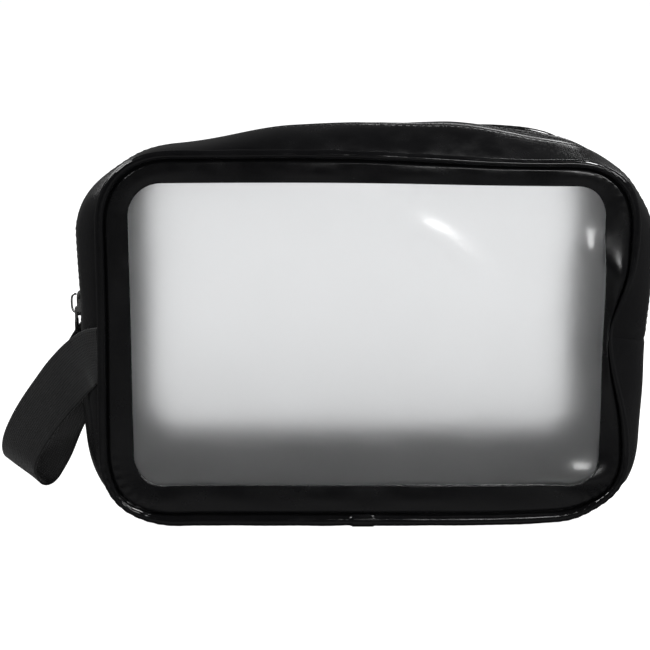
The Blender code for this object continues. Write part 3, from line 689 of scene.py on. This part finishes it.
def piping(name, sign):
    """Cover wrapped round its cord, with both lips run into the seam and gathers at the corners."""
    line = SEAM.ring(1.3)
    way, steps, lip = LIP_WAY, 22, LIP
    half = math.asin(LIP_OUT / PIPE_R)
    in_r = PIPE_R - PIPE_WALL
    half_in = math.asin(LIP_IN / in_r)
    round_out = way + half + (2 * math.pi - 2 * half) * np.linspace(0, 1, steps)
    round_in = way + 2 * math.pi - half_in - (2 * math.pi - 2 * half_in) * np.linspace(0, 1, steps)
    d, n = lip_axes()
    tips = [d * lip - n * LIP_OUT, d * lip - n * LIP_IN], [d * lip + n * LIP_IN, d * lip + n * LIP_OUT]
    pucker = COVER_DEPTH * np.sin(line.s[:, None] * 2 * math.pi / COVER_PITCH + COVER_TWIST * round_out[None])
    pucker = pucker * (COVER_EVEN + line.gathers()[:, None])
    lumps = LUMP_DEPTH * swell(line.at(0.0, 0.0), LUMP_LENGTH)[:, None]
    r = PIPE_R + pucker + lumps - COVER_THIN
    rows = []
    for k in range(len(line.s)):
        ring = [(r[k, i] * math.cos(a), r[k, i] * math.sin(a)) for i, a in enumerate(round_out)]
        ring += [tuple(p) for p in tips[0]]
        ring += [(in_r * math.cos(a), in_r * math.sin(a)) for a in round_in]
        ring += [tuple(p) for p in tips[1]]
        rows.append(ring)
    rows = np.array(rows)
    rings = line.at(rows[..., 0], sign * (PIPE_Y - rows[..., 1]))
    return solid(name, rings, COAT_PIPE, closed=True, sharp=SHARP_TUBE)


def piping_cord(name, sign):
    line = SEAM.ring(2.6)
    centres = line.at(0.0, sign * PIPE_Y)
    return tube(name, centres, CORD_R, CORD, sides=10, closed=True, toward=DEPTH_WAY)


JOINT_ASIDE, JOINT_HALF = 2.0, 6.0   # the overlap's place beside the middle, and half its length
JOINT_SUNK, JOINT_RISE, JOINT_STEEP = 0.2, 0.52, 4.0


def piping_joint(name, sign):
    """Overlap where the two ends of the piping cover meet, under the bag's middle."""
    middle = S_LEFT + 0.5 * (S_ALL - S_LEFT) - JOINT_ASIDE
    line = SEAM.cut(middle - JOINT_HALF, middle + JOINT_HALF, 0.6)
    t = (line.s - middle) / JOINT_HALF
    radius = PIPE_R - JOINT_SUNK + JOINT_RISE * ease((1 - np.abs(t)) * JOINT_STEEP)
    centres = line.at(0.0, sign * PIPE_Y)
    return tube(name, centres, radius, COAT_PIPE, sides=20, closed=False, toward=DEPTH_WAY)


BINDING_FROM, BINDING_TO, BINDING_T, BINDING_HALF, BINDING_CUT = 4.4, 9.0, 0.6, 1.15, 0.5
BINDING_WAVE, BINDING_WAVE_LENGTH, BINDING_POINT_STEP = 0.25, 7.0, 1.5


def binding(name, sign):
    """Tape folded over the seam's raw edges, inside the bag."""
    line = SEAM.ring(2.6)
    d, n = lip_axes()
    a, b, t, w, cut = BINDING_FROM, BINDING_TO, BINDING_T, BINDING_HALF, BINDING_CUT
    pts = [d * a + n * (w + t), d * (b - cut) + n * (w + t), d * b + n * (w + t - cut), d * b - n * (w + t - cut)]
    pts += [d * (b - cut) - n * (w + t), d * a - n * (w + t), d * a - n * w]
    pts += [d * (b - t) - n * w, d * (b - t) + n * w, d * a + n * w]
    pts = np.array(pts)
    wave = BINDING_WAVE * np.sin(line.s / BINDING_WAVE_LENGTH)[:, None]
    rings = line.at(pts[None, :, 0] + wave, sign * (PIPE_Y - pts[None, :, 1]))
    run = np.stack([
        np.broadcast_to(line.s[:, None], rings.shape[:2]),
        np.broadcast_to(np.arange(len(pts))[None] * BINDING_POINT_STEP, rings.shape[:2]),
        np.zeros(rings.shape[:2]),
    ], -1)
    return solid(name, rings, BINDING, closed=True, run=run)


for side, sign, place, upper in (("front", -1, on_front, True), ("back", 1, on_bag, False)):
    for kind, make, slot in (
        ("piping", piping, "coated_fabric"),
        ("cord", piping_cord, "piping_cord"),
        ("binding", binding, "seam_binding"),
    ):
        nodes = [f"{side}_{kind}_upper", f"{side}_{kind}_lower"] if upper else [f"{side}_{kind}"]
        place(make(f"{side}_{kind}_run", sign), slot, *nodes)
    on_bag(piping_joint(f"{side}_piping_joint", sign), "coated_fabric")


# ---- gussets -----------------------------------------------------------------
END = 0.05   # room between each end of the zip gusset and the side seam
LOWER = SEAM.cut(S_LEFT, S_ALL, 2.0)
UPPER = SEAM.cut(END, S_LEFT - END, 2.0)
HEM_DEPTHS = np.concatenate([HEM_Y + spaced(0, 1.4, 7), HEM_Y + spaced(1.9, 6.5, 10)])
SIDE_DEPTHS = np.concatenate([HEM_DEPTHS, spaced(14.5, 31.0, 15), spaced(31.6, EDGE_Y, 6)])

on_bag(
    gusset_shell("bottom_gusset_sheet", LOWER, gusset_depths(-EDGE_Y, EDGE_Y, 57), COAT), "coated_fabric",
    "bottom_gusset",
)
on_front(
    gusset_shell("zip_strip_front_sheet", UPPER, -SIDE_DEPTHS[::-1], COAT, True), "coated_fabric",
    "zip_strip_front", "zip_strip_front_left", "zip_strip_front_right",
)
on_bag(gusset_shell("zip_strip_back_sheet", UPPER, SIDE_DEPTHS, COAT, True), "coated_fabric", "zip_strip_back")


SEAM_BELOW, SEAM_ABOVE, SEAM_SPAN = 5, 3.5, 0.9   # height of the turned-in edges, and their share of the depth
SEAM_INSIDE, SEAM_T = 0.9, 1.1


def side_seam(name, sign):
    """Turned-in edges where the zip gusset meets the bottom gusset."""
    z = np.linspace(SEAM_Z - SEAM_BELOW, SEAM_Z + SEAM_ABOVE, 10)
    one = np.ones(len(z))
    line = Line(sign * HALF_W * one, z, sign * one, 0 * one, z - z[0])
    depths = gusset_depths(-SEAM_SPAN * EDGE_Y, SEAM_SPAN * EDGE_Y, 33)
    y = np.broadcast_to(depths, (len(z), len(depths)))
    u = skin_u(line, y)
    slope = np.gradient(u, axis=1) / np.gradient(y, axis=1)
    n_u = 1 / np.sqrt(1 + slope ** 2)
    t0 = GUSSET_T + HEM_T + CLEAR + SEAM_INSIDE
    t1 = t0 + SEAM_T
    outer = line.at(u - t0 * n_u, y + t0 * slope * n_u)
    inner = line.at(u - t1 * n_u, y + t1 * slope * n_u)
    return solid(name, both_sides(outer, inner), BINDING, run=strip_run(z, y))


for side, sign in (("left", -1), ("right", 1)):
    on_bag(side_seam(f"side_seam_{side}_tape", sign), "seam_binding", f"side_seam_{side}")


# ---- zip ---------------------------------------------------------------------
ZIP_INSET = 4.0   # from the side seams to the ends of the tape and of its stitches


def zip_tape(name, sign):
    """Woven tape under the hem, out to the coil."""
    line = SEAM.cut(ZIP_INSET, S_LEFT - ZIP_INSET, 2.0)
    ys = np.array([TAPE_Y[0], 1.6, 2.6, 3.6, 4.6, HEM_Y, 8.1, 9.75, 11.4, TAPE_Y[1]])
    y = np.broadcast_to(ys, (len(line.s), len(ys)))
    u = np.minimum(skin_u(line, y) - TAPE_UNDER, line.bulge()[:, None] - TAPE_DROP)
    outer, inner = line.at(u, sign * y), line.at(u - TAPE_T, sign * y)
    return solid(name, both_sides(outer, inner), TAPE, run=strip_run(line.s, y))


COIL_PITCH, COIL_WIRE = 1.35, 0.31
COIL_Y, COIL_HALF_W, COIL_DOWN, COIL_HALF_T = 1.45, 1.55, 1.35, 0.72


def zip_coil(name, sign):
    """Nylon coil: one flattened loop a tooth, half a pitch apart on the two sides."""
    start = ZIP_END_Z - SEAM_Z
    turns = int((S_LEFT - 2 * start) / COIL_PITCH)
    per_turn = 9
    turn = np.arange(turns * per_turn + 1) / per_turn
    s = start + (turn + (0.5 if sign > 0 else 0.0)) * COIL_PITCH
    line = SEAM.sampled(np.minimum(s, S_LEFT - start))
    a = turn * 2 * math.pi
    y = COIL_Y - COIL_HALF_W * np.cos(a)
    u = line.bulge() - COIL_DOWN + COIL_HALF_T * np.sin(a)
    centres = line.at(u, sign * y)
    along = np.stack([-line.nz, 0 * line.nz, line.nx], -1)
    return tube(name, centres, COIL_WIRE, NYLON, sides=5, closed=False, toward=along)


STITCH_LENGTH, STITCH_PITCH = 2.7, 3.35
STITCH_PROFILE = 0.24 * np.array([0.55, 0.95, 1.0, 0.95, 0.55])   # the thread's radius along a stitch
STITCH_SIDES, STITCH_SUNK, STITCH_DIVE = 6, 0.10, 0.35   # its ends dive into the cloth


def stitches(name, line_s, lane, sign):
    """A row of thread stitches lying in their groove on the gusset."""
    verts, faces = [], []
    rings = len(STITCH_PROFILE)
    for s in line_s:
        line = SEAM.sampled(s + np.linspace(-0.5, 0.5, rings) * STITCH_LENGTH)
        y = np.full((rings, 1), lane * sign)
        u = (skin_u(line, y) + folds(line, y))[:, 0] - STITCH_SUNK - STITCH_DIVE * np.linspace(-1, 1, rings) ** 4
        c = line.at(u, y[:, 0])
        a = np.linspace(0, 2 * math.pi, STITCH_SIDES, endpoint=False)
        out = np.stack([line.nx, 0 * line.nx, line.nz], -1)
        ring = c[:, None] + STITCH_PROFILE[:, None, None] * (
            np.cos(a)[None, :, None] * out[:, None] + np.sin(a)[None, :, None] * DEPTH_WAY
        )
        faces += skin_faces(rings, STITCH_SIDES, False, len(verts) * STITCH_SIDES, False)
        verts += list(ring)
    points = warp(np.array(verts).reshape(-1, 3))
    return finish_mesh(name, points, faces, THREAD, sharp=SHARP_THREAD)


HEM_STITCH = HEM_Y + STITCH_LANE
STITCH_S = np.arange(ZIP_INSET, S_LEFT - ZIP_INSET, STITCH_PITCH)
for kind, make in (("zip_tape", zip_tape), ("zip_coil", zip_coil)):
    on_front(make(f"{kind}_front_run", -1), kind, f"{kind}_front", f"{kind}_front_left", f"{kind}_front_right")
on_front(stitches("zip_stitches_front", STITCH_S, HEM_STITCH, -1), "coated_fabric")
on_bag(zip_tape("zip_tape_back_run", 1), "zip_tape", "zip_tape_back")
on_bag(zip_coil("zip_coil_back_run", 1), "zip_coil", "zip_coil_back")
on_bag(stitches("zip_stitches_back", STITCH_S, HEM_STITCH, 1), "coated_fabric")


# ---- slider, bail and pull ---------------------------------------------------
def rounded_cad(node, width):
    """A metal part keeps its own shape, with its edges broken."""
    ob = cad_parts[node]
    ob.data.materials.clear()
    ob.data.materials.append(PLATE)
    mod = ob.modifiers.new("edges", "BEVEL")
    mod.width, mod.segments = width * MM, 3
    mod.limit_method, mod.angle_limit = "ANGLE", math.radians(35)


rounded_cad("slider_body", width=0.22)
rounded_cad("pull_tab", width=0.2)

BAIL_R, BAIL_SQUARE = 0.5, 2 / 3   # the wire, and the power that squares its arch
_low, _high = (np.array(c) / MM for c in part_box("slider_bail"))
bail_z, bail_half = 0.5 * (_low[2] + _high[2]), 0.5 * (_high[2] - _low[2]) - BAIL_R
bail_root, bail_top = _high[0] - BAIL_R, _low[0] + BAIL_R
a = np.linspace(0, math.pi, 41)
bail = np.stack([
    bail_root + (bail_top - bail_root) * np.abs(np.sin(a)) ** BAIL_SQUARE,
    0 * a,
    bail_z - bail_half * np.sign(np.cos(a)) * np.abs(np.cos(a)) ** BAIL_SQUARE,
], -1)
bail_ob = tube("slider_bail_wire", bail, BAIL_R, PLATE, sides=14, closed=False, toward=DEPTH_WAY, bend=False)
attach(bail_ob, "slider")
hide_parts("slider_bail")


# ---- handle ------------------------------------------------------------------
# Middle of the webbing and the way across it, from the front seam round the loop to the back seam.
HANDLE_STATIONS = (
    ((-121.9, -35.2, 83.0), (0.02, 0.0, -1.0)),
    ((-126.0, -31.8, 81.2), (0.05, 0.0, -1.0)),
    ((-132.0, -26.0, 75.9), (0.09, -0.02, -1.0)),
    ((-140.0, -20.0, 66.8), (0.13, -0.08, -0.99)),
    ((-148.4, -15.5, 56.0), (0.22, -0.25, -0.94)),
    ((-156.4, -12.2, 44.9), (0.40, -0.40, -0.82)),
    ((-163.0, -10.0, 33.9), (0.60, -0.52, -0.61)),
    ((-166.8, -7.4, 24.4), (0.71, -0.56, -0.43)),
    ((-166.4, -2.2, 15.6), (0.79, -0.53, -0.31)),
    ((-160.6, 3.6, 12.9), (0.74, -0.52, -0.42)),
    ((-156.3, 6.4, 19.2), (0.70, -0.50, -0.50)),
    ((-153.5, 9.2, 24.8), (0.67, -0.47, -0.57)),
    ((-149.7, 13.2, 34.9), (0.58, -0.42, -0.70)),
    ((-145.8, 16.6, 43.6), (0.44, -0.33, -0.83)),
    ((-141.0, 21.0, 53.5), (0.28, -0.20, -0.93)),
    ((-135.6, 26.0, 66.5), (0.12, -0.06, -0.99)),
    ((-128.2, 30.8, 77.0), (0.05, 0.0, -1.0)),
    ((-122.3, 34.0, 82.0), (0.03, 0.0, -1.0)),
)


def smooth_curve(points, per_span):
    """A smooth line through points, one row each, with the same number of steps in every span."""
    p = np.vstack([2 * points[0] - points[1], points, 2 * points[-1] - points[-2]])
    out = []
    for i in range(1, len(p) - 2):
        a, b, c, d = p[i - 1], p[i], p[i + 1], p[i + 2]
        for t in np.arange(per_span) / per_span:
            bend, twist = 2 * a - 5 * b + 4 * c - d, 3 * b - a - 3 * c + d
            out.append(0.5 * (2 * b + (c - a) * t + bend * t ** 2 + twist * t ** 3))
    return np.array(out + [p[-2]])


def smooth_run(values, s, fine, rounds):
    """Values along a run, resampled evenly and relaxed between fixed ends."""
    out = np.stack([np.interp(fine, s, values[:, k]) for k in range(values.shape[1])], -1)
    for _ in range(rounds):
        out[1:-1] += 0.5 * (0.5 * (out[:-2] + out[2:]) - out[1:-1])
    return out


def run_length(points):
    """Distance run to each point of a line."""
    return np.concatenate([[0.0], np.cumsum(np.linalg.norm(np.diff(points, axis=0), axis=1))])


STRAP_POINTS, STRAP_ROUNDS, STRAP_SPAN = 171, 14, 12
LEAN_LENGTH = 16.0   # the ends are cut along the seam, and turn square over this length
EDGE_V = np.array([11.9, 12.3, WEB_W / 2])   # across the webbing: its rounded edge
EDGE_SHARE = [1.05, 0.75, 0.35]   # share of the thickness there, the selvage first
FLAT_V, FLAT_POINTS = 11.0, 13
WEB_PRESSED, CUP = 0.92, 0.35


def strap(name):
    """The webbing loop, square across its run but for the two ends, which lie along the seam."""
    rows = smooth_curve(np.array([centre + width for centre, width in HANDLE_STATIONS]), STRAP_SPAN)
    s = run_length(rows[:, :3])
    fine = np.linspace(0, s[-1], STRAP_POINTS)
    c = smooth_run(rows[:, :3], s, fine, STRAP_ROUNDS)
    w = smooth_run(rows[:, 3:], s, fine, STRAP_ROUNDS)
    ahead = np.gradient(c, axis=0)
    ahead /= np.linalg.norm(ahead, axis=1)[:, None]
    along = (w * ahead).sum(1)[:, None]
    across = w - along * ahead
    size = np.linalg.norm(across, axis=1)[:, None]
    run_s = run_length(c)
    lean = 1 - ease(np.minimum(run_s, run_s[-1] - run_s) / LEAN_LENGTH)[:, None]
    w = (across + lean * along * ahead) / size
    normal = np.cross(across / size, ahead)
    v = np.concatenate([-EDGE_V[::-1], np.linspace(-FLAT_V, FLAT_V, FLAT_POINTS), EDGE_V])
    half = WEB_T / 2 * np.array(EDGE_SHARE[::-1] + [1.0] * FLAT_POINTS + EDGE_SHARE) * WEB_PRESSED
    cup = CUP * (v / (WEB_W / 2)) ** 2
    face = c[:, None] + w[:, None] * v[None, :, None] + normal[:, None] * cup[None, :, None]
    outer, inner = face + normal[:, None] * half[None, :, None], face - normal[:, None] * half[None, :, None]
    run = strip_run(run_s, np.broadcast_to(v, (len(run_s), len(v))))
    ob = solid(name, both_sides(outer, inner), WEBBING, run=run, bend=False, sharp=SHARP_WEB)
    return ob, run_s[-1]


handle, handle_length = strap("handle_strap")
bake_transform(handle)
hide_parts("handle_loop", "handle_end_front", "handle_end_back")


# ---- floor, light and camera -------------------------------------------------
FLOOR_SIZE = 40
# Distance behind the middle of the bag, in metres, and the ground's glow from there; the dimmer glow near the bag is
# painted shade.
PAINTED_SHADE_NEAR, GROUND_FAR = (0.08, 0.58), (0.45, 0.98)


def floor():
    """Pale glowing ground. Seen straight it is white, and seen through the film it is greyer close behind the bag, a
    painted shade.
    """
    m = Nodes("floor_pale", (0.35, 0.35, 0.35), 0.9)
    m.set("Emission Color", (1.0, 1.0, 1.0, 1.0))
    seen = m.add("ShaderNodeLightPath").outputs["Is Camera Ray"]
    split = m.add("ShaderNodeSeparateXYZ", [("Vector", m.place())])
    # The glow is dimmer close behind the bag: painted shade seen through the film.
    glow = m.ramp(split.outputs["Y"], PAINTED_SHADE_NEAR[0], GROUND_FAR[0], PAINTED_SHADE_NEAR[1], GROUND_FAR[1])
    m.link(m.math("MAXIMUM", glow, seen), m.bsdf.inputs["Emission Strength"])
    bpy.ops.mesh.primitive_plane_add(size=FLOOR_SIZE)
    ob = bpy.context.object
    ob.name = "floor"
    ob.data.materials.append(m.mat)
    ob.visible_glossy = False


SOFTBOX_SPREAD = math.radians(160.0)


def softbox(name, place, target, size, power):
    light = bpy.data.lights.new(name, "AREA")
    light.shape, light.size, light.size_y, light.energy = "RECTANGLE", size[0], size[1], power
    light.spread = SOFTBOX_SPREAD
    ob = bpy.data.objects.new(name, light)
    ob.location = place
    ob.rotation_euler = (Vector(target) - Vector(place)).to_track_quat("-Z", "Y").to_euler()
    bpy.context.scene.collection.objects.link(ob)


# How far a direction points at a wall or at the table, from and to, and how bright the room is there.
ROOM = (0.45, 0.98, 0.02, 0.10)   # the dim walls at the sides and back
TABLE_FRONT = (-0.5, -0.8, 0.0, 1.0)   # the pale table top before the bag: its share towards the front
TABLE_LOW = (-0.18, -0.45, 0.0, 0.24)   # and downwards


def studio():
    """A dim room with a pale table top before the bag, for reflections. What is seen straight or through the film is
    the white ground instead."""
    world = bpy.data.worlds.new("studio")
    bpy.context.scene.world = world
    world.use_nodes = True
    tree = world.node_tree
    tree.nodes.clear()

    def node(kind, *sources, **settings):
        """A node with its first inputs linked to other nodes' outputs."""
        n = tree.nodes.new("ShaderNode" + kind)
        for key, value in settings.items():
            setattr(n, key, value)
        for socket, source in zip(n.inputs, sources):
            tree.links.new(source, socket)
        return n

    def share(source, limits, smooth=False):
        n = node("MapRange", source, interpolation_type="SMOOTHSTEP" if smooth else "LINEAR")
        for socket, value in zip(("From Min", "From Max", "To Min", "To Max"), limits):
            n.inputs[socket].default_value = value
        return n.outputs["Result"]

    white, room = node("Background"), node("Background")
    white.inputs["Strength"].default_value = 1.0
    white.inputs["Color"].default_value = (1, 1, 1, 1)
    way = node("SeparateXYZ", node("TexCoord").outputs["Generated"]).outputs
    sides = node("Math", way["X"], operation="ABSOLUTE").outputs[0]
    walls = share(node("Math", sides, way["Y"], operation="MAXIMUM").outputs[0], ROOM, smooth=True)
    table = node("Math", share(way["Y"], TABLE_FRONT), share(way["Z"], TABLE_LOW), operation="MULTIPLY").outputs[0]
    total = node("Math", table, walls, operation="ADD").outputs[0]
    tree.links.new(total, room.inputs["Strength"])
    path = node("LightPath").outputs
    ground = node("Math", path["Is Camera Ray"], path["Is Transmission Ray"], operation="MAXIMUM").outputs[0]
    mix = node("MixShader", ground, room.outputs[0], white.outputs[0])
    node("OutputWorld", mix.outputs[0])


# Each softbox: its place, what it points at, its width and height in metres, and its power in watts.
SOFTBOXES = {
    "top_right": ((0.50, -0.10, 1.05), (0.05, 0, 0.14), (0.30, 0.22), 7),
    "left": ((-1.0, 0.10, 0.85), (-0.1, 0, 0.1), (0.25, 0.6), 3),
    "top_left": ((-0.75, -0.40, 0.75), (-0.1, 0, 0.12), (0.12, 0.26), 2.0),
    "front_right": ((0.85, -0.75, 0.75), (0.08, 0, 0.12), (0.20, 0.40), 3),
    "front": ((0.34, -1.25, 0.42), (0.05, 0, 0.12), (0.40, 0.22), 2.2),
    "back_left": ((-0.95, 1.05, 0.75), (0, 0, 0.1), (0.5, 0.5), 3.5),
    "back_right": ((0.9, 1.1, 0.7), (0, 0, 0.1), (0.3, 0.5), 1.6),
    "back": ((0.24, 1.25, 0.58), (0.05, 0, 0.14), (0.42, 0.12), 0.45),
}

floor()
studio()
for side, settings in SOFTBOXES.items():
    softbox(f"softbox_{side}", *settings)

CAMERA_LENS, CAMERA_SENSOR = 85.4, 36.0
CAMERA_PLACE, CAMERA_TILT = (-0.0196, -0.7013, 0.2883), math.radians(74.0)
camera = bpy.data.cameras.new("camera")
camera.lens, camera.sensor_width = CAMERA_LENS, CAMERA_SENSOR
camera_ob = bpy.data.objects.new("camera", camera)
camera_ob.location = CAMERA_PLACE
camera_ob.rotation_euler = (CAMERA_TILT, 0.0, 0.0)
bpy.context.scene.collection.objects.link(camera_ob)
bpy.context.scene.camera = camera_ob
bpy.context.scene.view_settings.view_transform = "Standard"
bpy.context.scene.view_settings.look = "None"
